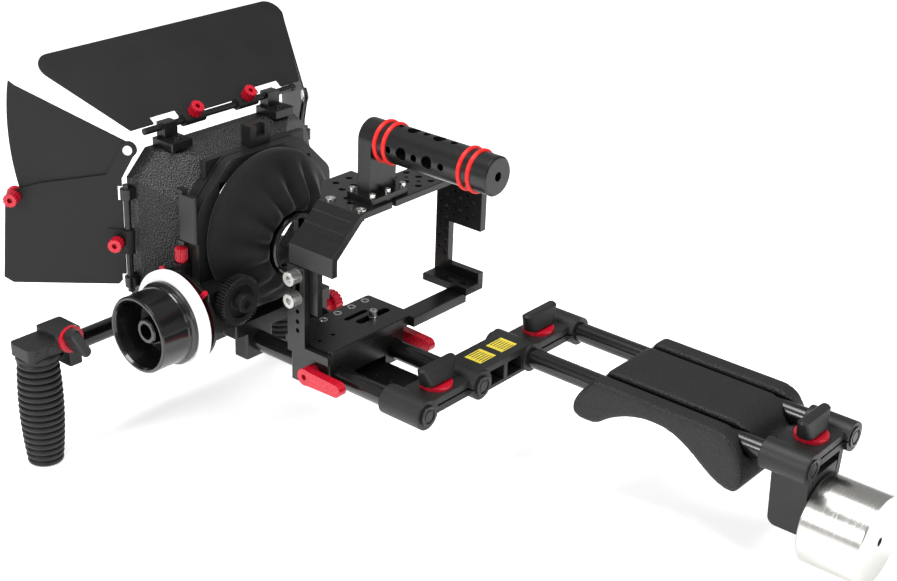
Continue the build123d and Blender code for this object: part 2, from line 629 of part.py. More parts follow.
LOCK_XY = (-STAGE_HALF_W - 5.0, (STAGE_Y[2] + STAGE_Y[3]) / 2)
LOCK_Z = 67.0
LATCH_XY = (-STAGE_HALF_W - 2.4, STAGE_Y[3] - 2.5)
LATCH_Z = (84.0, 120.0)
with BuildPart() as filter_stages:
    stage_frame(STAGE_Y[0], STAGE_Y[1])
    stage_frame(STAGE_Y[2], STAGE_Y[3])
    half = FILTER_HALF + 0.3
    tray_mid = (STAGE_Y[2] + STAGE_Y[3]) / 2
    slot_y = (tray_mid - TRAY_T / 2 - 0.3, tray_mid + TRAY_T / 2 + 0.3)
    block((-half, half), slot_y, (STAGE_Z - half, STAGE_Z + STAGE_HALF_H + 1), Mode.SUBTRACT)
    round_y(0, STAGE_Z, STAGE_HALF_H - 2, STAGE_Y[1], STAGE_Y[2])
    round_y(0, STAGE_Z, STAGE_HALF_H - 9, STAGE_Y[0], STAGE_Y[2], Mode.SUBTRACT)
    for z in (LATCH_Z[0] - 3.3, LATCH_Z[1] + 0.3):
        block((-STAGE_HALF_W - 5, -STAGE_HALF_W + 1), (STAGE_Y[2] + 1, STAGE_Y[3]), (z, z + 3))
        round_z(LATCH_XY[0], LATCH_XY[1], 1.25, z, z + 3, Mode.SUBTRACT)
    block((-STAGE_HALF_W - 10, -STAGE_HALF_W + 1), (STAGE_Y[2], STAGE_Y[3]), (LOCK_Z - 4, LOCK_Z))
    round_z(LOCK_XY[0], LOCK_XY[1], 2.25, LOCK_Z - 4, LOCK_Z, Mode.SUBTRACT)
save(filter_stages, "filter_stages")

with BuildPart() as top_tray:
    tray_y = (tray_mid - TRAY_T / 2, tray_mid + TRAY_T / 2)
    tray_z = (STAGE_Z - FILTER_HALF, STAGE_Z + STAGE_HALF_H)
    block((-FILTER_HALF, FILTER_HALF), tray_y, tray_z)
    opening = FILTER_HALF - 6
    block((-opening, opening), tray_y, (STAGE_Z - opening, STAGE_Z + opening), Mode.SUBTRACT)
    block((-7, 12), (tray_mid - 5, tray_mid + 6), (tray_z[1] + 0.3, tray_z[1] + 16))
    block((-5, 10), tray_y, (tray_z[1], tray_z[1] + 1))
    block((-2, 7), (tray_mid - 5, tray_mid - 1), (tray_z[1] + 7, tray_z[1] + 16), Mode.SUBTRACT)
save(top_tray, "top_tray")

# A latch strip hinged at the left edge of the stages.
with BuildPart() as side_latch:
    latch_x = (LATCH_XY[0] - 2, LATCH_XY[0] + 2)
    block(latch_x, (STAGE_Y[0] - 2, LATCH_XY[1] + 2), (LATCH_Z[0], LATCH_Z[1]), corner=1.95)
    round_z(LATCH_XY[0], LATCH_XY[1], 1.2, LATCH_Z[0] - 3, LATCH_Z[1] + 3)
save(side_latch, "side_latch")

with BuildPart() as stage_lock_screw:
    lx, ly = LOCK_XY
    round_z(lx, ly, 4.8, LOCK_Z + 2, LOCK_Z + 11)
    round_z(lx, ly, 3.2, LOCK_Z + 0.2, LOCK_Z + 2)
    round_z(lx, ly, 2.2, LOCK_Z - 4, LOCK_Z + 1)
    for i in range(16):
        angle = 2 * math.pi * i / 16
        knurl = (lx + 4.8 * math.cos(angle), ly + 4.8 * math.sin(angle))
        round_z(knurl[0], knurl[1], 0.5, LOCK_Z + 3, LOCK_Z + 11, Mode.SUBTRACT)
save(stage_lock_screw, "stage_lock_screw")

# The clamp that stands the matte box on the front rods.
MATTE_CLAMP_Y = (206.0, 232.0)
with BuildPart() as matte_clamp:
    block((-44, 44), MATTE_CLAMP_Y, (-12, 12), corner=2)
    for x in FRONT_ROD_X:
        round_y(x, 0, ROD_R + SLIDE_GAP, MATTE_CLAMP_Y[0], MATTE_CLAMP_Y[1], Mode.SUBTRACT)
    block((-19, 19), MATTE_CLAMP_Y, (-12, -3), Mode.SUBTRACT)
    block((-14, 14), (STAGE_Y[2], MATTE_CLAMP_Y[1] - 6), (12, STAGE_Z - STAGE_HALF_H))
save(matte_clamp, "matte_clamp")

# Rods on which the three flags turn, with the brackets that hold their ends to the hood's rim.
with BuildPart() as flag_hinges:
    hy, hz = TOP_HINGE
    round_x(hy, hz, HINGE_ROD_R, -72, 78)
    for x in TOP_BRACKET_X:
        block((x - 10, x + 10), (hy - 17, hy + 5), (HOOD_Z + HOOD_HALF_H, HOOD_Z + HOOD_HALF_H + 6), corner=1)
        block((x - 6, x + 6), (hy - 5, hy + 4), (HOOD_Z + HOOD_HALF_H + 6, hz + 3.5))
        round_z(x, hy - 11, 3.0, HOOD_Z + HOOD_HALF_H + 6, HOOD_Z + HOOD_HALF_H + 8)
    round_x(hy, hz, 3.0, 75, 78)
    for side in (-1, 1):
        hinge_x = side * SIDE_HINGE_X
        lug_x = sorted((hinge_x, side * HOOD_HALF_W))
        round_z(hinge_x, SIDE_HINGE_Y, HINGE_ROD_R, SIDE_ROD_Z[0], SIDE_ROD_Z[1])
        for z in SIDE_KNUCKLE_Z:
            block(lug_x, (SIDE_HINGE_Y - 4, SIDE_HINGE_Y + 4), (z, z + SIDE_KNUCKLE_L))
            round_z(hinge_x, SIDE_HINGE_Y, 4.5, z, z + SIDE_KNUCKLE_L)
save(flag_hinges, "flag_hinges")


# ---- flags --------------------------------------------------------------------------------------
RED_KNOB_R = 5.2


def red_knob(plane, length=9.0):
    """A knurled red thumbscrew head standing on a plane, with a hex socket in its face."""
    with BuildSketch(plane) as head:
        Circle(RED_KNOB_R)
        with PolarLocations(RED_KNOB_R, 14):
            Circle(0.55, mode=Mode.SUBTRACT)
    extrude(head.sketch, amount=length)
    with BuildSketch(plane.offset(length)) as socket:
        RegularPolygon(2.2, 6)
    extrude(socket.sketch, amount=-3, mode=Mode.SUBTRACT)


top_plane = Plane(
    origin=(0, TOP_HINGE[0], TOP_HINGE[1]), x_dir=(1, 0, 0),
    z_dir=(0, -math.sin(math.radians(TOP_FLAG_TILT)), math.cos(math.radians(TOP_FLAG_TILT))),
)
NOTCH = 8.0
with BuildPart() as top_flag:
    with BuildSketch(top_plane.offset(FLAG_LIFT)) as flag_face:
        with BuildLine():
            Polyline(
                (-TOP_FLAG_REAR, 2), (-TOP_FLAG_FRONT, TOP_FLAG_L), (TOP_FLAG_FRONT, TOP_FLAG_L),
                (TOP_FLAG_REAR, 2), close=True,
            )
        make_face()
        fillet(flag_face.vertices().group_by(Axis.Y)[-1], 12)
        for x in TOP_BRACKET_X:
            with Locations((x, NOTCH / 2)):
                Rectangle(24, NOTCH, mode=Mode.SUBTRACT)
    extrude(amount=FLAG_T)
    for x in TOP_CLIP_X:
        round_x(TOP_HINGE[0], TOP_HINGE[1], HINGE_ROD_R + 2, x - 10, x + 10)
        with BuildSketch(top_plane):
            with Locations((x, 6)):
                Rectangle(20, 12)
        extrude(amount=FLAG_LIFT)
        with BuildSketch(top_plane.offset(3)):
            with Locations((x, TOP_KNOB_S)):
                Circle(3.6)
        extrude(amount=TOP_BOSS_LIFT - 3)
    round_x(TOP_HINGE[0], TOP_HINGE[1], HINGE_BORE_R, -60, 60, Mode.SUBTRACT)
save(top_flag, "top_flag")

with BuildPart() as top_flag_knobs:
    for x in TOP_CLIP_X:
        red_knob(Plane(
            origin=top_plane.offset(TOP_BOSS_LIFT + 0.4).from_local_coords(Vector(x, TOP_KNOB_S, 0)),
            x_dir=(1, 0, 0), z_dir=top_plane.z_dir,
        ), 7.5)
save(top_flag_knobs, "top_flag_knobs")


def side_plane(side, lift):
    """The plane of a side flag, lifted outward: its x runs from the hinge forward and out, its y up."""
    turn = math.radians(SIDE_OPEN)
    forward = Vector(side * math.sin(turn), math.cos(turn), 0)
    outward = Vector(side * math.cos(turn), -math.sin(turn), 0)
    origin = Vector(side * SIDE_HINGE_X, SIDE_HINGE_Y, 0) + outward * lift
    return Plane(origin=origin, x_dir=forward, z_dir=forward.cross(Vector(0, 0, 1)))


def plate_between(face, side, low, high):
    """Extrudes a face drawn on side_plane(side, low) outward to the lift high."""
    extrude(face.sketch, amount=side * (high - low))


def side_flag(side):
    """A side flag: a thin plate with a tongue up to its rivet, and a clip round its hinge rod."""
    half = FLAG_T / 2
    rivet_x, rivet_z = RIVET
    knuckle_low, knuckle_high = SIDE_KNUCKLE_Z
    with BuildPart() as flag:
        with BuildSketch(side_plane(side, -half)) as face:
            with BuildLine():
                Polyline(
                    (6.3, knuckle_low + 4), (9, 43), (90, 37), (97, 41), (91, 104), (87, 110), (64, 118),
                    (14, 128.5), (rivet_x + 6, rivet_z), (rivet_x - 6, rivet_z), (3, 126),
                    (3, knuckle_high + SIDE_KNUCKLE_L + 1.5), (6.3, knuckle_high + SIDE_KNUCKLE_L + 1.5),
                    (6.3, knuckle_high - 1.5), (3, knuckle_high - 1.5), (3, knuckle_low + SIDE_KNUCKLE_L + 1.5),
                    (6.3, knuckle_low + SIDE_KNUCKLE_L + 1.5), close=True,
                )
            make_face()
            with Locations(RIVET):
                Circle(6)
                Circle(1.55, mode=Mode.SUBTRACT)
        plate_between(face, side, -half, half)
        clip_z = (SIDE_CLIP[1] - 9, SIDE_CLIP[1] + 9)
        round_z(side * SIDE_HINGE_X, SIDE_HINGE_Y, HINGE_ROD_R + 2, clip_z[0], clip_z[1])
        with BuildSketch(side_plane(side, -1.5)) as clip:
            with Locations((8, SIDE_CLIP[1])):
                Rectangle(14, 18)
        plate_between(clip, side, -1.5, 1.5)
        with BuildSketch(side_plane(side, 1.5)) as boss:
            with Locations(SIDE_CLIP):
                Circle(3.8)
        plate_between(boss, side, 1.5, SIDE_BOSS_LIFT)
        round_z(side * SIDE_HINGE_X, SIDE_HINGE_Y, HINGE_BORE_R, clip_z[0], clip_z[1], Mode.SUBTRACT)
    return flag


FAN_LIFT = FLAG_T / 2 + 0.3


def side_fan(side):
    """The fan above a side flag: a thin sector on the inner side that turns about a rivet."""
    low, high = -FAN_LIFT - FLAG_T, -FAN_LIFT
    with BuildPart() as fan:
        with BuildSketch(side_plane(side, low)) as face:
            with BuildLine():
                Polyline((80, 112), (78, 105), (16, 120), (RIVET[0] + 4, RIVET[1] - 5), (RIVET[0] - 6, RIVET[1]))
                Polyline((RIVET[0] - 6, RIVET[1]), (RIVET[0] - 1, 153), (78, 190), (82, 193), (83, 188))
                ThreePointArc((83, 188), (85, 150), (80, 112))
            make_face()
            with Locations(RIVET):
                Circle(6)
        plate_between(face, side, low, high)
        with BuildSketch(side_plane(side, low - 1)) as nut:
            with Locations(RIVET):
                RegularPolygon(4, 6)
        plate_between(nut, side, low - 1, low)
        with BuildSketch(side_plane(side, low)) as pin:
            with Locations(RIVET):
                Circle(1.5)
        plate_between(pin, side, low, FLAG_T / 2 + 0.3)
        with BuildSketch(side_plane(side, FLAG_T / 2 + 0.3)) as head:
            with Locations(RIVET):
                Circle(3.4)
        plate_between(head, side, FLAG_T / 2 + 0.3, FLAG_T / 2 + 1.4)
    return fan


def side_knobs(side):
    """The two red thumbscrews of a side flag: one clamps its hinge clip, one pinches the fan's rim."""
    with BuildPart() as knobs:
        for place, lift, length in ((SIDE_CLIP, SIDE_BOSS_LIFT, 7.5), (FAN_KNOB, FLAG_T / 2, 9.0)):
            outer = side_plane(side, lift)
            red_knob(Plane(
                origin=outer.from_local_coords(Vector(place[0], place[1], 0)),
                x_dir=outer.x_dir, z_dir=outer.z_dir * side,
            ), length)
        under = -FAN_LIFT - FLAG_T - 0.3
        with BuildSketch(side_plane(side, under)) as pin:
            with Locations(FAN_KNOB):
                Circle(1.5)
        plate_between(pin, side, under, -FLAG_T / 2)
        with BuildSketch(side_plane(side, under - 1.2)) as washer:
            with Locations(FAN_KNOB):
                Circle(7)
        plate_between(washer, side, under - 1.2, under)
    return knobs


for side, word in ((-1, "left"), (1, "right")):
    save(side_flag(side), f"{word}_flag")
    save(side_fan(side), f"{word}_fan")
    save(side_knobs(side), f"{word}_flag_knobs")

# ---- donut and lens ring ------------------------------------------------------------------------
# The fabric donut is a hollow cone from the stage's back to the ring that grips the lens.
DONUT_BAND = 5.0
with BuildPart() as donut:
    with BuildSketch(Plane.XZ.offset(-DONUT_Y[1])):
        with Locations((0, STAGE_Z)):
            Circle(DONUT_R)
            Circle(DONUT_R - 8, mode=Mode.SUBTRACT)
    extrude(amount=DONUT_BAND)
    with BuildSketch(Plane.XZ.offset(-(DONUT_Y[1] - DONUT_BAND))):
        with Locations((0, STAGE_Z)):
            Circle(DONUT_R)
    with BuildSketch(Plane.XZ.offset(-DONUT_Y[0])):
        with Locations((0, LENS_Z)):
            Circle(DONUT_NECK_R)
    loft(ruled=True)
    with BuildSketch(Plane.XZ.offset(-(DONUT_Y[1] - DONUT_BAND))):
        with Locations((0, STAGE_Z)):
            Circle(DONUT_R - 8)
    with BuildSketch(Plane.XZ.offset(-DONUT_Y[0])):
        with Locations((0, LENS_Z)):
            Circle(LENS_RING_R + 0.3)
    loft(ruled=True, mode=Mode.SUBTRACT)
save(donut, "donut")

with BuildPart() as lens_ring:
    ring_y = (DONUT_Y[0] - 6, DONUT_Y[0] + 3)
    round_y(0, LENS_Z, LENS_RING_R, ring_y[0], ring_y[1])
    round_y(0, LENS_Z, LENS_RING_BORE, ring_y[0], ring_y[1], Mode.SUBTRACT)
    chamfer(lens_ring.edges().filter_by(GeomType.CIRCLE).sort_by(Axis.Y)[0:2], 1.2)
save(lens_ring, "lens_ring")

# ---- handlebar ----------------------------------------------------------------------------------
with BuildPart() as crossbar:
    round_x(BAR_Y, BAR_Z, ROD_R, BAR_X[0], BAR_X[1])
    round_x(BAR_Y, BAR_Z, ROD_BORE_R, BAR_X[0], BAR_X[1], Mode.SUBTRACT)
save(crossbar, "crossbar")

with BuildPart() as crossbar_clamp:
    clamp_y = (BAR_Y - 13, BAR_Y + 8)
    block((-44, 44), clamp_y, (BAR_Z - 10, 11), corner=2)
    for x in FRONT_ROD_X:
        round_y(x, 0, ROD_R + SLIDE_GAP, clamp_y[0], clamp_y[1], Mode.SUBTRACT)
    round_x(BAR_Y, BAR_Z, ROD_R, -44, 44, Mode.SUBTRACT)
    block((-18, 18), clamp_y, (3, 11), Mode.SUBTRACT)
save(crossbar_clamp, "crossbar_clamp")


def grip_clamp(x, inward):
    """The cap over a hand grip and the clamp beside it that holds the crossbar's end."""
    near, far = GRIP_CLAMP_REACH
    rear, front = BAR_Y - 14, BAR_Y + 12
    across = sorted((x + inward * near, x + inward * far))
    knob_x = x + inward * GRIP_KNOB[0]
    with BuildPart() as clamp:
        block(sorted((x - inward * 16, x + inward * far)), (rear, front), GRIP_CAP_Z, corner=4)
        block(across, (rear, front), GRIP_CLAMP_Z, corner=2)
        block(sorted((x + inward * 8, x + inward * far)), (rear, front), (GRIP_CAP_Z[1] - 1, GRIP_CLAMP_Z[1]), corner=3)
        round_x(BAR_Y, BAR_Z, ROD_R + SLIDE_GAP, across[0], across[1], Mode.SUBTRACT)
        round_z(x, BAR_Y, 6, GRIP_BOTTOM_Z + 10, GRIP_CAP_Z[0])
        round_y(knob_x, GRIP_KNOB[1], KNOB_HOLE_R, rear, rear + 7, Mode.SUBTRACT)
        round_y(x + inward * 3, (GRIP_CAP_Z[0] + GRIP_CAP_Z[1]) / 2, 3.6, rear - 0.6, rear)
        round_y(x - inward * 9, (GRIP_CAP_Z[0] + GRIP_CAP_Z[1]) / 2, 2.2, rear - 0.4, rear)
    return clamp


def rubber_grip(x):
    """A ribbed rubber barrel with a collar at its top, pulled over the post of its clamp."""
    collar_z = GRIP_TOP_Z - GRIP_COLLAR
    pitch = (collar_z - GRIP_BOTTOM_Z) / GRIP_RINGS
    with BuildPart() as grip:
        with BuildSketch(Plane.XZ.offset(-BAR_Y)):
            with BuildLine():
                points = [(x + 6, GRIP_BOTTOM_Z)]
                for i in range(GRIP_RINGS):
                    z = GRIP_BOTTOM_Z + i * pitch
                    middle = 1 - ((i + 0.5) / GRIP_RINGS - 0.6) ** 2 * 2.2
                    r = GRIP_R * (0.72 + 0.28 * middle)
                    points += [
                        (x + r - 2.6, z), (x + r - 0.4, z + pitch * 0.25),
                        (x + r, z + pitch * 0.5), (x + r - 0.4, z + pitch * 0.75),
                    ]
                points += [
                    (x + 14.5, collar_z), (x + 16.5, collar_z + 1), (x + 16.5, GRIP_TOP_Z - 1.3),
                    (x + 15.5, GRIP_TOP_Z - 0.3), (x + 6, GRIP_TOP_Z - 0.3),
                ]
                Polyline(*points, close=True)
            make_face()
        revolve(axis=Axis((x, BAR_Y, 0), (0, 0, 1)))
        round_z(x, BAR_Y, 7, GRIP_BOTTOM_Z, GRIP_BOTTOM_Z + 9.9)
    return grip


def wing_knob_rear(x, z, y):
    """A wing knob whose screw runs forward, standing behind the plane y with its wing leaning over."""
    with BuildPart() as knob:
        back = y - 0.3
        round_y(x, z, KNOB_SCREW_R, back - 1, back + 6.5)
        round_y(x, z, WING_STEM_R, back - WASHER_L - WING_STEM_L, back)
        wing_y = back - WASHER_L - 1
        for offset, length, width in ((0, 22, 12), (WING_H - 4.5, 28, 8), (WING_H - 3, 25, 5)):
            with BuildSketch(Plane.XZ.offset(offset - wing_y)):
                with Locations((x, z)):
                    SlotOverall(length, width, rotation=-62)
        loft(ruled=True)
    return knob


def washer_rear(x, z, y):
    with BuildPart() as washer:
        round_y(x, z, 10.5, y - WASHER_L, y)
        round_y(x, z, WASHER_BORE_R, y - WASHER_L, y, Mode.SUBTRACT)
    return washer


for x, inward, word in zip(GRIP_X, (1, -1), ("left", "right")):
    knob_place = (x + inward * GRIP_KNOB[0], GRIP_KNOB[1], BAR_Y - 14)
    save(grip_clamp(x, inward), f"{word}_grip_clamp")
    save(rubber_grip(x), f"{word}_grip")
    save(wing_knob_rear(*knob_place), f"{word}_grip_knob")
    save(washer_rear(*knob_place), f"{word}_grip_washer")

# ---- follow focus -------------------------------------------------------------------------------
BRIDGE_Y = (166.0, 180.0)
BRIDGE_Z = (9.0, 19.0)
with BuildPart() as focus_bracket:
    block((-54, 46), BRIDGE_Y, BRIDGE_Z, corner=1.5)
    for x in FRONT_ROD_X:
        block((x - 13, x + 13), BRIDGE_Y, (-12, BRIDGE_Z[0]), corner=1.5)
        round_y(x, 0, ROD_R + SLIDE_GAP, BRIDGE_Y[0], BRIDGE_Y[1], Mode.SUBTRACT)
    round_x(173, 0, 2.55, 37.6, 43, Mode.SUBTRACT)
save(focus_bracket, "focus_bracket")

with BuildPart() as focus_clamp_knob:
    round_x(173, 0, 2.5, 38, 46)
    round_x(173, 0, 6, 43.4, 50)
    with BuildSketch(Plane.YZ.offset(50)):
        with Locations((173, 0)):
            Circle(10)
    extrude(amount=8)
    for i in range(18):
        angle = 2 * math.pi * i / 18
        round_x(173 + 10 * math.cos(angle), 10 * math.sin(angle), 0.8, 50, 58, Mode.SUBTRACT)
save(focus_clamp_knob, "focus_clamp_knob")

# The gear housing: a drum for the wheel's bearing, and a box behind the filter stages for the gear's.
SHAFT_R = 4.0
GEAR_BOX_Y = (168.0, 186.0)
with BuildPart() as gearbox:
    groove_x = (STOP_RING_X[0] - 0.2, STOP_RING_X[1] + 0.2)
    round_x(FOCUS_Y, FOCUS_Z, DRUM_RIM_R, GEARBOX_X[0], groove_x[0] - 0.8)
    round_x(FOCUS_Y, FOCUS_Z, GEARBOX_R, groove_x[0] - 0.8, groove_x[0])
    round_x(FOCUS_Y, FOCUS_Z, STOP_RING_R[0] - SLIDE_GAP, groove_x[0], groove_x[1])
    round_x(FOCUS_Y, FOCUS_Z, GEARBOX_R, groove_x[1], GEARBOX_X[1])
    round_x(FOCUS_Y, FOCUS_Z, DRUM_BACK_R, groove_x[1] + 0.8, GEARBOX_X[1])
    block((groove_x[1], GEARBOX_X[1]), (DRUM_CUT_Y, FOCUS_Y + 40), (-10, 65), Mode.SUBTRACT)
    block((GEARBOX_X[1] - 2, -42), GEAR_BOX_Y, (BRIDGE_Z[1], GEAR_Z + 9), corner=1.5)
    round_y(0, STAGE_Z, DONUT_R + 1.5, GEAR_BOX_Y[0], GEAR_BOX_Y[1], Mode.SUBTRACT)
    round_x(FOCUS_Y, FOCUS_Z, SHAFT_R + SLIDE_GAP, GEARBOX_X[0], GEARBOX_X[1], Mode.SUBTRACT)
    round_y(GEAR_X, GEAR_Z, SHAFT_R + SLIDE_GAP, GEAR_BOX_Y[0], GEAR_BOX_Y[1], Mode.SUBTRACT)
save(gearbox, "gearbox")

# A ring with two pins that turns in the drum's groove and marks the ends of the focus pull.
with BuildPart() as stop_ring:
    round_x(FOCUS_Y, FOCUS_Z, STOP_RING_R[1], STOP_RING_X[0], STOP_RING_X[1])
    round_x(FOCUS_Y, FOCUS_Z, STOP_RING_R[0], STOP_RING_X[0], STOP_RING_X[1], Mode.SUBTRACT)
    for angle in (61, 134):
        a = math.radians(angle)
        outward = Vector(0, math.cos(a), math.sin(a))
        centre = Vector(sum(STOP_RING_X) / 2, FOCUS_Y, FOCUS_Z)
        with BuildSketch(Plane(origin=centre + outward * (STOP_RING_R[1] - 1), x_dir=(1, 0, 0), z_dir=outward)):
            Circle(1.25)
        extrude(amount=3)
        with BuildSketch(Plane(origin=centre + outward * (STOP_RING_R[1] + 1), x_dir=(1, 0, 0), z_dir=outward)):
            Circle(2.0)
        extrude(amount=STOP_PIN_R - STOP_RING_R[1] - 1)
save(stop_ring, "stop_ring")

with BuildPart() as hand_wheel:
    with BuildSketch(Plane.XY.offset(FOCUS_Z)):
        with BuildLine():
            x0, x1 = WHEEL_X
            r = WHEEL_R
            outline = [
                (x1, 0), (x1, r + 2.5), (x1 - 3, r + 2.5), (x1 - 4, r + 0.5), (x1 - 6, r + 0.5), (x1 - 7, r),
                (x0 + 1, r), (x0, r - 1), (x0, r - 2.5), (x0 + 2, r - 3.5), (x1 - 9, r - 9), (x1 - 9, 11),
                (x0 + 9, 9.5), (x0 + 8, 8.5), (x0 + 8, 6), (x1 - 8, 6), (x1 - 8, 0),
            ]
            Polyline(*[(px, FOCUS_Y - py) for px, py in outline], close=True)
        make_face()
    revolve(axis=Axis((0, FOCUS_Y, FOCUS_Z), (1, 0, 0)))
    round_x(FOCUS_Y, FOCUS_Z, SHAFT_R, x1, GEARBOX_X[1] - 0.5)
save(hand_wheel, "hand_wheel")

with BuildPart() as marking_disc:
    with BuildSketch(Plane.XY.offset(FOCUS_Z)):
        with BuildLine():
            x0, x1 = DISC_X
            outline = [
                (x0 - 0.9, SHAFT_R), (x0 - 0.9, WHEEL_R + 4), (x0 + 1.6, DISC_R), (x1, DISC_R), (x1, SHAFT_R),
            ]
            Polyline(*[(px, FOCUS_Y - py) for px, py in outline], close=True)
        make_face()
    revolve(axis=Axis((0, FOCUS_Y, FOCUS_Z), (1, 0, 0)))
save(marking_disc, "marking_disc")

with BuildPart() as drive_gear:
    tooth_h = 2.0
    with BuildSketch(Plane.XZ.offset(-GEAR_Y[1])):
        with Locations((GEAR_X, GEAR_Z)):
            Circle(GEAR_R - tooth_h)
            with PolarLocations(GEAR_R - tooth_h / 2 - 0.1, GEAR_TEETH):
                Trapezoid(1.55, tooth_h + 0.4, 78, rotation=-90)
    extrude(amount=GEAR_Y[1] - GEAR_Y[0])
    round_y(GEAR_X, GEAR_Z, GEAR_R - 6, GEAR_Y[0], GEAR_Y[0] + 2.5, Mode.SUBTRACT)
    round_y(GEAR_X, GEAR_Z, 7, GEAR_Y[0] - 6, GEAR_Y[0] + 2.6)
    round_y(GEAR_X, GEAR_Z, 4, GEAR_Y[0] - 6, GEAR_Y[0] - 4, Mode.SUBTRACT)
    round_y(GEAR_X, GEAR_Z, SHAFT_R, GEAR_Y[1], GEAR_BOX_Y[1] - 1)
save(drive_gear, "drive_gear")

# ---- shoulder pad -------------------------------------------------------------------------------
with BuildPart() as shoulder_pad:
    with BuildSketch(Plane.YZ.offset(PAD_X[0])):
        with BuildLine():
            Polyline((-66, PAD_TOP_Z), (-164, PAD_TOP_Z))
            Spline((-164, PAD_TOP_Z), (-180, 6), (-188, -8), (-190, -24), tangents=((-1, 0), (0, -1)))
            Polyline((-190, -24), (-186, -30))
            Spline((-186, -30), (-163, -22), (-138, -6), (-108, -3), (-78, -16), (-62, -22), tangents=((1, 0), (1, 0)))
            Spline((-62, -22), (-50, -13), (-54, -3), (-66, PAD_TOP_Z), tangents=((1, 0), (-0.8, 1)))
        make_face()
    extrude(amount=PAD_X[1] - PAD_X[0])
    for x in REAR_ROD_X:
        round_y(x, 0, PAD_BORE_R, -200, -40, Mode.SUBTRACT)
        block((x - PAD_SLOT / 2, x + PAD_SLOT / 2), (-200, -40), (0, PAD_TOP_Z + 1), Mode.SUBTRACT)
save(shoulder_pad, "shoulder_pad")

# ---- rear clamp and counterweight ---------------------------------------------------------------
with BuildPart() as rear_clamp:
    for x in REAR_ROD_X:
        round_y(x, 0, SOCKET_R, REAR_CLAMP_Y[0], REAR_CLAMP_Y[1])
    split_web(REAR_ROD_X[0], REAR_ROD_X[1], (REAR_CLAMP_Y[0] + 3, REAR_CLAMP_Y[1] - 3), REAR_KNOB_Y)
    for side in (-1, 1):
        leg = [
            (REAR_X + side * LEG_TOP_HALF, -4), (REAR_X + side * LEG_BOTTOM_HALF, LEG_Z),
            (REAR_X + side * (LEG_BOTTOM_HALF - LEG_T), LEG_Z), (REAR_X + side * (LEG_TOP_HALF - LEG_T), -4),
        ]
        profile_y(leg, LEG_Y[0], LEG_Y[1])
    fillet(rear_clamp.edges().filter_by(Axis.X, tolerance=15).group_by(Axis.Z)[0], 6)
    half = LEG_BOTTOM_HALF + 0.5
    block((REAR_X - half + 4, REAR_X + half - 4), (LEG_Y[0], LEG_Y[0] + 5), (WEIGHT_Z - 6, -14))
    round_y(REAR_X, WEIGHT_Z, 3.05, LEG_Y[0], LEG_Y[0] + 5, Mode.SUBTRACT)
    for x in REAR_ROD_X:
        round_y(x, 0, ROD_R + SLIDE_GAP, REAR_CLAMP_Y[0], REAR_CLAMP_Y[1], Mode.SUBTRACT)
save(rear_clamp, "rear_clamp")

with BuildPart() as rear_washer:
    washer_z(REAR_X, REAR_KNOB_Y, WEB_Z)
save(rear_washer, "rear_washer")
save(wing_knob_z(REAR_X, REAR_KNOB_Y, WEB_Z, 13), "rear_knob")

with BuildPart() as counterweight:
    round_y(REAR_X, WEIGHT_Z, WEIGHT_R, WEIGHT_Y[0], WEIGHT_Y[1])
    chamfer(counterweight.edges().filter_by(GeomType.CIRCLE), 1.0)
    round_y(REAR_X, WEIGHT_Z, 3.3, WEIGHT_Y[0], WEIGHT_Y[0] + 12, Mode.SUBTRACT)
    round_y(REAR_X, WEIGHT_Z, 3.0, WEIGHT_Y[1], LEG_Y[0] + 8)
    round_y(REAR_X, WEIGHT_Z, 6, LEG_Y[0] + 5.3, LEG_Y[0] + 9)
save(counterweight, "counterweight")
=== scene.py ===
import json
import math
import random

import bmesh
import bpy
from mathutils import Matrix, Vector, noise


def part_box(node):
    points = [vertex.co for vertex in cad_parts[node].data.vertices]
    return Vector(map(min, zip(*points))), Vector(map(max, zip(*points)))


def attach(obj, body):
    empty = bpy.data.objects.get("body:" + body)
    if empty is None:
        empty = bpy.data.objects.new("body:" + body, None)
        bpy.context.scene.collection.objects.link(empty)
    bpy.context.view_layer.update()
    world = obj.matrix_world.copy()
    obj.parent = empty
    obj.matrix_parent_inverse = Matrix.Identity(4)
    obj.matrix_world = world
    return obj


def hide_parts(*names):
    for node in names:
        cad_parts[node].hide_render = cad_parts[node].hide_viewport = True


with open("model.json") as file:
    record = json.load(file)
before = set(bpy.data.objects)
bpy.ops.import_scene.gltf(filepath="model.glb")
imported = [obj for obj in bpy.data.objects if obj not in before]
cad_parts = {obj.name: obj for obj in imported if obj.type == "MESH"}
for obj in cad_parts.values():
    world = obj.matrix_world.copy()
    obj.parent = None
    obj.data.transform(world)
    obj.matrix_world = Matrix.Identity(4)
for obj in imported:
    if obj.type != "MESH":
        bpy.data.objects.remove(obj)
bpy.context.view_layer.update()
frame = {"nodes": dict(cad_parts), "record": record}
nodes = frame["nodes"]

# Camera.
# It stands behind and above the rig, to the operator's left, and looks down along the lens.
CAMERA_PLACE = Vector((-0.7609, -0.60819, 0.54152))
CAMERA_TURN = math.radians(-50.91)
CAMERA_DOWN = math.radians(25.11)
CAMERA_ROLL = math.radians(2.18)
CAMERA_LENS_MM = 63.41
look = Vector((
    -math.sin(CAMERA_TURN) * math.cos(CAMERA_DOWN),
    math.cos(CAMERA_TURN) * math.cos(CAMERA_DOWN),
    -math.sin(CAMERA_DOWN),
))
level = Vector((math.cos(CAMERA_TURN), math.sin(CAMERA_TURN), 0))
up = level.cross(look)
side_axis = level * math.cos(CAMERA_ROLL) + up * math.sin(CAMERA_ROLL)
up_axis = up * math.cos(CAMERA_ROLL) - level * math.sin(CAMERA_ROLL)
camera = bpy.data.objects.new("camera", bpy.data.cameras.new("camera"))
camera.data.lens = CAMERA_LENS_MM
camera.data.sensor_width = 36.0
camera.data.clip_start = 0.01
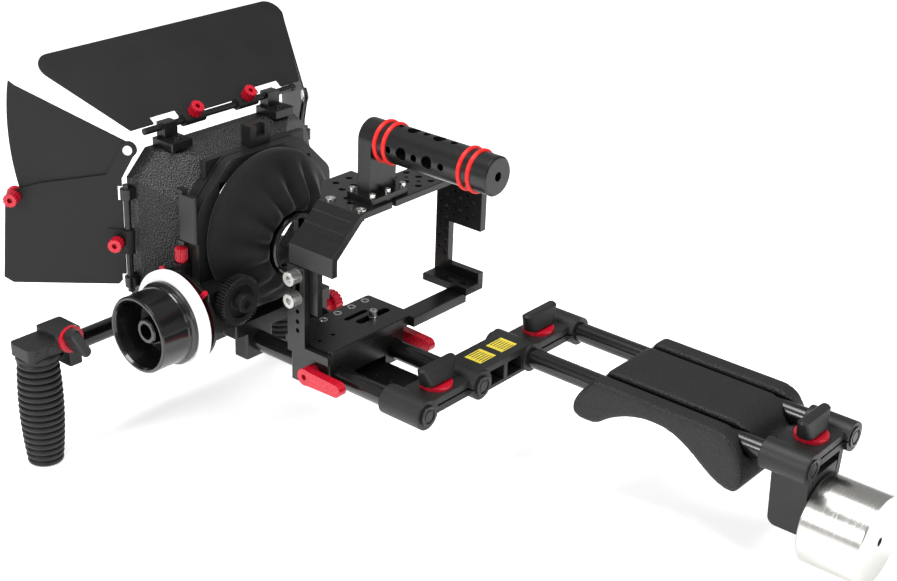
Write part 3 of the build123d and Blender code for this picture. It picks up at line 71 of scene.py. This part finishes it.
camera.matrix_world = Matrix.Translation(CAMERA_PLACE) @ Matrix((side_axis, up_axis, -look)).transposed().to_4x4()
bpy.context.scene.collection.objects.link(camera)
bpy.context.scene.camera = camera

# Studio.
# A pale room: an even white world, a broad lamp over the rig, and one to the left and behind it.
world = bpy.data.worlds.new("studio")
bpy.context.scene.world = world
world.use_nodes = True
world.node_tree.nodes["Background"].inputs["Color"].default_value = (1.0, 1.0, 1.0, 1.0)
backdrop = world.node_tree.nodes["Background"]
seen = world.node_tree.nodes.new("ShaderNodeLightPath")
level_of = world.node_tree.nodes.new("ShaderNodeMapRange")
level_of.inputs["To Min"].default_value = 0.4
level_of.inputs["To Max"].default_value = 1.0
world.node_tree.links.new(seen.outputs["Is Camera Ray"], level_of.inputs["Value"])
world.node_tree.links.new(level_of.outputs[0], backdrop.inputs["Strength"])
bpy.context.scene.view_settings.view_transform = "Standard"


def area_lamp(name, place, target, size, power):
    """A square soft lamp at a place, turned to a target."""
    lamp = bpy.data.objects.new(name, bpy.data.lights.new(name, "AREA"))
    lamp.data.size = size
    lamp.data.energy = power
    lamp.location = place
    lamp.rotation_euler = (Vector(target) - Vector(place)).to_track_quat("-Z", "Y").to_euler()
    bpy.context.scene.collection.objects.link(lamp)


RIG_CENTRE = (0.02, 0.03, 0.05)
area_lamp("lamp_over", (-0.2, 0.1, 1.5), RIG_CENTRE, 0.8, 24)
area_lamp("lamp_left", (-1.5, 0.3, 0.8), RIG_CENTRE, 0.5, 16)
area_lamp("lamp_behind", (0.3, -1.6, 0.9), RIG_CENTRE, 0.6, 13)


# Finishes.
# Each one is a Principled surface whose colour, gloss and relief come from patterns on the piece itself.
class Value:
    """A shader socket that can be used in sums, as a number can."""

    def __init__(self, tree, socket):
        self.tree = tree
        self.socket = socket

    def sum_of(self, operation, first, second):
        node = self.tree.nodes.new("ShaderNodeMath")
        node.operation = operation
        for slot, item in zip(node.inputs, (first, second)):
            if isinstance(item, Value):
                self.tree.links.new(item.socket, slot)
            else:
                slot.default_value = item
        return Value(self.tree, node.outputs[0])

    def __add__(self, other):
        return self.sum_of("ADD", self, other)

    def __radd__(self, other):
        return self.sum_of("ADD", other, self)

    def __sub__(self, other):
        return self.sum_of("SUBTRACT", self, other)

    def __rsub__(self, other):
        return self.sum_of("SUBTRACT", other, self)

    def __mul__(self, other):
        return self.sum_of("MULTIPLY", self, other)

    def __rmul__(self, other):
        return self.sum_of("MULTIPLY", other, self)

    def __gt__(self, other):
        return self.sum_of("GREATER_THAN", self, other)

    def __lt__(self, other):
        return self.sum_of("LESS_THAN", self, other)


class Finish:
    """A material built around one Principled shader."""

    def __init__(self, name, color, roughness, metallic=0.0, coat=0.0, specular=0.5):
        self.material = bpy.data.materials.new(name)
        self.material.use_nodes = True
        self.tree = self.material.node_tree
        self.surface = self.tree.nodes["Principled BSDF"]
        self.surface.inputs["Base Color"].default_value = (*color, 1.0)
        self.surface.inputs["Roughness"].default_value = roughness
        self.surface.inputs["Metallic"].default_value = metallic
        self.surface.inputs["Coat Weight"].default_value = coat
        self.surface.inputs["Specular IOR Level"].default_value = specular
        self.color = color
        self.place = self.node("ShaderNodeTexCoord", out="Object")

    def node(self, kind, settings=None, out=0, **values):
        """Adds a node: its settings first, then the values or links of its sockets."""
        node = self.tree.nodes.new(kind)
        for key, item in (settings or {}).items():
            setattr(node, key, item)
        for key, item in values.items():
            socket = node.inputs[int(key[1:])] if key[0] == "i" and key[1:].isdigit() else node.inputs[key]
            if isinstance(item, Value):
                self.tree.links.new(item.socket, socket)
            else:
                socket.default_value = item
        return Value(self.tree, node.outputs[out])

    def speckle(self, scale, detail=2.0, stretch=(1, 1, 1)):
        """Soft noise from 0 to 1, so many to the metre, stretched along an axis if wanted."""
        placed = self.node("ShaderNodeMapping", Vector=self.place, Scale=stretch)
        return self.node("ShaderNodeTexNoise", Vector=placed, Scale=scale, Detail=detail)

    def cells(self, scale):
        """Distance to the nearest of many scattered points, so many to the metre."""
        return self.node("ShaderNodeTexVoronoi", Vector=self.place, Scale=scale)

    def feed(self, name, value):
        self.tree.links.new(value.socket, self.surface.inputs[name])

    def shade(self, factor, dark, light):
        """Base colour from dark to light as factor goes from 0 to 1."""
        self.feed("Base Color", self.node(
            "ShaderNodeMix", {"data_type": "RGBA"}, out=2, i0=factor, i6=(*dark, 1.0), i7=(*light, 1.0)
        ))

    def relief(self, height, depth, edge=0.0):
        """Bump of a depth in metres over softened edges of a radius in metres."""
        links = {"Height": height, "Distance": depth, "Strength": 1.0}
        if edge:
            links["Normal"] = self.node("ShaderNodeBevel", {"samples": 4}, Radius=edge)
        self.feed("Normal", self.node("ShaderNodeBump", **links))


def lighter(color, factor):
    return tuple(min(1.0, c * factor) for c in color)


def anodised(name, color, roughness, grain=0.12):
    """Bead-blasted and dyed aluminium: faint mottling, fine grain, edges rubbed soft."""
    made = Finish(name, color, roughness, metallic=0.15)
    mottle = made.speckle(60, 3)
    made.shade(mottle, lighter(color, 0.7), lighter(color, 1.5))
    made.feed("Roughness", roughness + (made.speckle(900, 2) - 0.5) * grain)
    made.relief(made.speckle(2500, 1), 0.00002, 0.0005)
    return made


def moulded(name, color, roughness, pitch, depth, edge=0.0008):
    """Moulded plastic with a fine leather-like grain."""
    made = Finish(name, color, roughness, specular=0.3)
    pebbles = made.cells(pitch)
    made.shade(made.speckle(40, 3), lighter(color, 0.8), lighter(color, 1.3))
    made.feed("Roughness", roughness + (made.speckle(500, 2) - 0.5) * 0.2)
    made.relief(pebbles, depth, edge)
    return made


FINISHES = {}


def finish_of(slot, made):
    """Gives a finish to every frame node of a material slot."""
    FINISHES[slot] = made.material
    for part in frame["record"]["subparts"]:
        if part["material_slot"] == slot:
            mesh = nodes[part["node"]].data
            for index in range(max(1, len(mesh.materials))):
                if index < len(mesh.materials):
                    mesh.materials[index] = made.material
                else:
                    mesh.materials.append(made.material)


# Machined metalwork.
# The cage, clamps and hinges are aluminium, milled, bead-blasted and dyed black; small handles are dyed red.
BLACK_DYE = (0.0045, 0.0048, 0.0045)
RED_DYE = (0.42, 0.004, 0.018)
finish_of("black_anodised", anodised("black_anodised", BLACK_DYE, 0.3))
finish_of("red_anodised", anodised("red_anodised", RED_DYE, 0.28))

# Rods.
# Drawn tube with a glossy hard-anodised skin, faintly streaked along its length.
rod_skin = Finish("rod_black", (0.004, 0.004, 0.0042), 0.2, metallic=0.1, coat=0.2)
streaks = rod_skin.speckle(220, 3, stretch=(1, 0.03, 1))
rod_skin.feed("Roughness", 0.16 + streaks * 0.16)
rod_skin.relief(streaks, 0.00001)
finish_of("rod_black", rod_skin)

# Moulded brackets, knobs and grip clamps.
# Glass-filled nylon, dark grey, with a fine spark-eroded grain.
finish_of("grey_plastic", moulded("grey_plastic", (0.011, 0.0118, 0.0112), 0.46, 2200, 0.00004))
shell = Finish("black_plastic", (0.006, 0.0063, 0.0062), 0.34, specular=0.4)
PEBBLES_FROM_Y = 0.2055
along = shell.node("ShaderNodeSeparateXYZ", out=1, Vector=shell.place)
pebbled = along > PEBBLES_FROM_Y
shell.shade(shell.speckle(40, 3), (0.005, 0.0053, 0.0052), (0.009, 0.0095, 0.0092))
shell.feed("Roughness", 0.3 + shell.speckle(500, 2) * 0.12)
shell.relief(shell.cells(820) * pebbled, 0.0007, 0.0008)
finish_of("black_plastic", shell)

# Steel screws and the turned counterweight.
# Bright steel, and a polished weight with fine turning marks.
steel = Finish("steel", (0.62, 0.62, 0.6), 0.3, metallic=1.0)
steel.feed("Roughness", 0.22 + steel.speckle(1500, 2) * 0.2)
steel.relief(steel.speckle(2500, 1), 0.00001, 0.0003)
finish_of("steel", steel)
polish = Finish("polished", (0.55, 0.545, 0.52), 0.2, metallic=1.0)
turning = polish.speckle(700, 2, stretch=(0.12, 1.6, 0.12))
polish.feed("Roughness", 0.14 + turning * 0.2)
polish.relief(turning, 0.000015, 0.0006)
finish_of("polished", polish)

# Rubber bands and ribbed grips.
finish_of("red_rubber", moulded("red_rubber", (0.6, 0.012, 0.01), 0.4, 1500, 0.00001))
finish_of("black_rubber", moulded("black_rubber", (0.0085, 0.009, 0.0085), 0.5, 1400, 0.00005))

# Flags.
# Thin aluminium sheet with a matt black coat that scuffs a little.
sheet_black = Finish("flag_black", (0.005, 0.005, 0.005), 0.5, specular=0.25)
scuff = sheet_black.speckle(25, 5)
sheet_black.shade(scuff, (0.0035, 0.0036, 0.0035), (0.008, 0.0085, 0.008))
sheet_black.feed("Roughness", 0.42 + scuff * 0.2)
sheet_black.relief(sheet_black.speckle(1800, 2), 0.00002)
finish_of("flag_black", sheet_black)

# Fans.
# The same sheet, each with a bright rivet at the corner it turns about.
fan_black = Finish("fan_black", (0.005, 0.005, 0.005), 0.5, specular=0.25)
RIVET_PLACE = (0.0892, 0.235, 0.1485)
RIVET_RADIUS = 0.005
rivet_mask = 0.0
for side in (-1, 1):
    away = fan_black.node(
        "ShaderNodeVectorMath", {"operation": "DISTANCE"}, out=1,
        i0=fan_black.place, i1=(side * RIVET_PLACE[0], RIVET_PLACE[1], RIVET_PLACE[2]),
    )
    rivet_mask = rivet_mask + (away < RIVET_RADIUS)
fan_black.shade(rivet_mask, (0.0055, 0.0057, 0.0055), (0.75, 0.75, 0.72))
fan_black.feed("Roughness", 0.42 + fan_black.speckle(25, 5) * 0.2)
fan_black.relief(fan_black.speckle(1800, 2), 0.00002)
finish_of("fan_black", fan_black)

# Focus wheel and lens ring: glossy black plastic.
gloss = Finish("gloss_black", (0.004, 0.004, 0.0042), 0.2, coat=0.2)
gloss.feed("Roughness", 0.12 + gloss.speckle(300, 2) * 0.12)
gloss.relief(gloss.speckle(300, 1), 0.000005, 0.0006)
finish_of("gloss_black", gloss)

# Marking disc.
# White wipe-clean plastic, so that focus marks can be pencilled on it; faint patches of handling dirt.
disc = Finish("disc_white", (0.8, 0.81, 0.82), 0.3)
disc.shade(disc.speckle(35, 4), (0.72, 0.73, 0.74), (0.86, 0.87, 0.88))
disc.feed("Roughness", 0.25 + disc.speckle(200, 2) * 0.15)
disc.relief(disc.speckle(200, 1), 0.000005, 0.0004)
finish_of("disc_white", disc)


# Shoulder pad.
# Moulded foam with a pebbled skin, in three lobes between which the rods lie; it slides on the rear rods.
def copy_of(node, name):
    """A merged copy of a frame node's mesh as a new piece."""
    made = bmesh.new()
    made.from_mesh(nodes[node].data)
    bmesh.ops.remove_doubles(made, verts=made.verts, dist=0.00001)
    mesh = bpy.data.meshes.new(name)
    made.to_mesh(mesh)
    made.free()
    piece = bpy.data.objects.new(name, mesh)
    bpy.context.scene.collection.objects.link(piece)
    mesh.materials.clear()
    return piece


def smooth_all(piece):
    for face in piece.data.polygons:
        face.use_smooth = True


pad = copy_of("shoulder_pad", "pad_foam")
remesh = pad.modifiers.new("remesh", "REMESH")
remesh.mode = "VOXEL"
remesh.voxel_size = 0.0016
remesh.use_smooth_shade = True
soften = pad.modifiers.new("soften", "SMOOTH")
soften.factor = 0.6
soften.iterations = 14
foam = moulded("pad_foam", (0.008, 0.0083, 0.0085), 0.5, 750, 0.00045, edge=0)
FINISHES["grip_foam"] = foam.material
pad.data.materials.append(foam.material)
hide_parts("shoulder_pad")
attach(pad, "shoulder_pad")

# Donut.
# A sleeve of soft black cloth from the filter stage to the lens, gathered at its neck by an elastic hem.
donut_low, donut_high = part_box("donut")
LENS_HEIGHT = (donut_low.z + donut_high.z) / 2
DONUT_WIDE = (donut_high.x - donut_low.x) / 2
DONUT_BACK = donut_low.y
DONUT_FRONT = donut_high.y
ring_low, ring_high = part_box("lens_ring")
NECK_HEIGHT = (ring_low.z + ring_high.z) / 2
NECK_RADIUS = (ring_high.x - ring_low.x) / 2
PLEATS = 13
STEPS = 340
random.seed(7)
pleat_shift = [random.uniform(-0.35, 0.35) for _ in range(PLEATS)]
pleat_size = [random.uniform(0.55, 1.15) for _ in range(PLEATS)]


def pleat(angle):
    """Height of the gathers round the neck, from -1 to 1, uneven from one to the next."""
    place = angle / (2 * math.pi) * PLEATS
    index = int(math.floor(place)) % PLEATS
    within = place - math.floor(place)
    shift = pleat_shift[index] * math.sin(math.pi * within) ** 2 * 0.3
    size = pleat_size[index] * (1 - within) + pleat_size[(index + 1) % PLEATS] * within
    return math.sin(2 * math.pi * (within + shift)) * size


sleeve = bmesh.new()
profile = [
    (DONUT_WIDE - 0.001, DONUT_FRONT - 0.0004), (DONUT_WIDE - 0.0003, DONUT_FRONT - 0.004),
    (DONUT_WIDE - 0.0012, DONUT_FRONT - 0.008), (DONUT_WIDE - 0.0055, DONUT_FRONT - 0.0125),
    (DONUT_WIDE - 0.0115, DONUT_FRONT - 0.0168), (DONUT_WIDE - 0.017, DONUT_BACK + 0.0056),
    (NECK_RADIUS + 0.0155, DONUT_BACK + 0.0018), (NECK_RADIUS + 0.0118, DONUT_BACK - 0.0018),
    (NECK_RADIUS + 0.0078, DONUT_BACK - 0.0038), (NECK_RADIUS + 0.0043, DONUT_BACK - 0.0036),
    (NECK_RADIUS + 0.0018, DONUT_BACK - 0.0018), (NECK_RADIUS + 0.0006, DONUT_BACK + 0.0002),
    (NECK_RADIUS + 0.0005, DONUT_BACK + 0.0018),
]
ring = [sleeve.verts.new((0, y, LENS_HEIGHT + r)) for r, y in profile]
edges = [sleeve.edges.new(pair) for pair in zip(ring, ring[1:])]
bmesh.ops.subdivide_edges(sleeve, edges=edges, cuts=3)
bmesh.ops.spin(
    sleeve, geom=sleeve.verts[:] + sleeve.edges[:], cent=(0, 0, LENS_HEIGHT), axis=(0, 1, 0),
    angle=2 * math.pi, steps=STEPS, use_merge=True,
)
bmesh.ops.remove_doubles(sleeve, verts=sleeve.verts, dist=0.00002)
for vert in sleeve.verts:
    out = Vector((vert.co.x, 0, vert.co.z - LENS_HEIGHT))
    radius = out.length
    out.normalize()
    angle = math.atan2(out.z, out.x) + math.pi
    gather = max(0.0, min(1.0, (DONUT_WIDE - 0.002 - radius) / (DONUT_WIDE - NECK_RADIUS - 0.006)))
    slack = gather ** 1.4 * (1 - 0.8 * gather ** 7)
    wave = pleat(angle + 0.1 * gather + 0.12 * noise.noise(vert.co * 30))
    crease = noise.noise(vert.co * 38)
    upper = 0.75 + 0.35 * out.z
    vert.co += out * (wave * 0.003 * slack * upper)
    vert.co.y -= (wave * 0.0068 + crease * 0.007) * slack * upper
    vert.co.z += (NECK_HEIGHT - LENS_HEIGHT) * gather
bmesh.ops.smooth_vert(sleeve, verts=sleeve.verts[:], factor=0.5, use_axis_x=True, use_axis_y=True, use_axis_z=True)
bmesh.ops.recalc_face_normals(sleeve, faces=sleeve.faces[:])
cloth_mesh = bpy.data.meshes.new("donut_cloth")
sleeve.to_mesh(cloth_mesh)
sleeve.free()
donut = bpy.data.objects.new("donut_cloth", cloth_mesh)
bpy.context.scene.collection.objects.link(donut)
smooth_all(donut)
hem = donut.modifiers.new("cloth", "SOLIDIFY")
hem.thickness = 0.0006
hem.offset = 0
cloth = Finish("donut_cloth", (0.005, 0.005, 0.0052), 0.85, specular=0.2)
cloth.surface.inputs["Sheen Weight"].default_value = 0.12
cloth.surface.inputs["Sheen Roughness"].default_value = 0.4
cloth.shade(cloth.speckle(70, 4), (0.003, 0.003, 0.003), (0.007, 0.007, 0.007))
cloth.relief(cloth.speckle(2600, 2, stretch=(1, 1, 0.4)), 0.00012)
FINISHES["fabric"] = cloth.material
donut.data.materials.append(cloth.material)
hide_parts("donut")
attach(donut, "matte_box")

# Bracket labels.
# Two yellow stickers on the offset bracket's middle box, each with plain dark lines for its small print.
BRACKET_TOP = 0.0110
LABEL_HALF = (0.009, 0.0075)
for label_name, label_x in (("label_left", 0.0475), ("label_right", 0.0725)):
    sticker = bmesh.new()
    bmesh.ops.create_cube(sticker, size=1.0)
    for vert in sticker.verts:
        vert.co.x = label_x + 2 * vert.co.x * LABEL_HALF[0]
        vert.co.y = 0.0165 + 2 * vert.co.y * LABEL_HALF[1]
        vert.co.z = BRACKET_TOP + (0.0002 if vert.co.z > 0 else 0.00002)
    label_mesh = bpy.data.meshes.new(label_name)
    sticker.to_mesh(label_mesh)
    sticker.free()
    label = bpy.data.objects.new(label_name, label_mesh)
    bpy.context.scene.collection.objects.link(label)
    printed = Finish(label_name, (0.75, 0.6, 0.05), 0.4)
    across = printed.node("ShaderNodeSeparateXYZ", out=0, Vector=printed.place)
    down = printed.node("ShaderNodeSeparateXYZ", out=1, Vector=printed.place)
    lines = printed.node("ShaderNodeMath", {"operation": "SINE"}, i0=down * 2600.0) > 0.35
    block_word = printed.node("ShaderNodeMath", {"operation": "ABSOLUTE"}, i0=across - label_x) < 0.0062
    printed.shade(lines * block_word, (0.72, 0.58, 0.04), (0.03, 0.03, 0.02))
    label_mesh.materials.append(printed.material)
    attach(label, "frame")

# Floor.
# A pale sheet that the two hand grips and the counterweight stand on, so it tips a little against the rods.
grip_low, grip_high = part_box("left_grip")
weight_low, weight_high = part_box("counterweight")
grip_y = (grip_low.y + grip_high.y) / 2
weight_y = (weight_low.y + weight_high.y) / 2
tip = (weight_low.z - grip_low.z) / (grip_y - weight_y)
FLOOR_HALF = 4.0
floor_mesh = bmesh.new()
bmesh.ops.create_grid(floor_mesh, x_segments=2, y_segments=2, size=FLOOR_HALF)
for vert in floor_mesh.verts:
    vert.co.z = grip_low.z + (grip_y - vert.co.y) * tip - 0.0005
mesh = bpy.data.meshes.new("floor")
floor_mesh.to_mesh(mesh)
floor_mesh.free()
floor = bpy.data.objects.new("floor", mesh)
bpy.context.scene.collection.objects.link(floor)
paper = Finish("floor_paper", (0.97, 0.97, 0.97), 0.9)
paper.shade(paper.speckle(3, 2), (0.965, 0.965, 0.965), (0.985, 0.985, 0.985))
paper.surface.inputs["Emission Color"].default_value = (1.0, 1.0, 1.0, 1.0)
paper.surface.inputs["Emission Strength"].default_value = 0.5
floor.data.materials.append(paper.material)
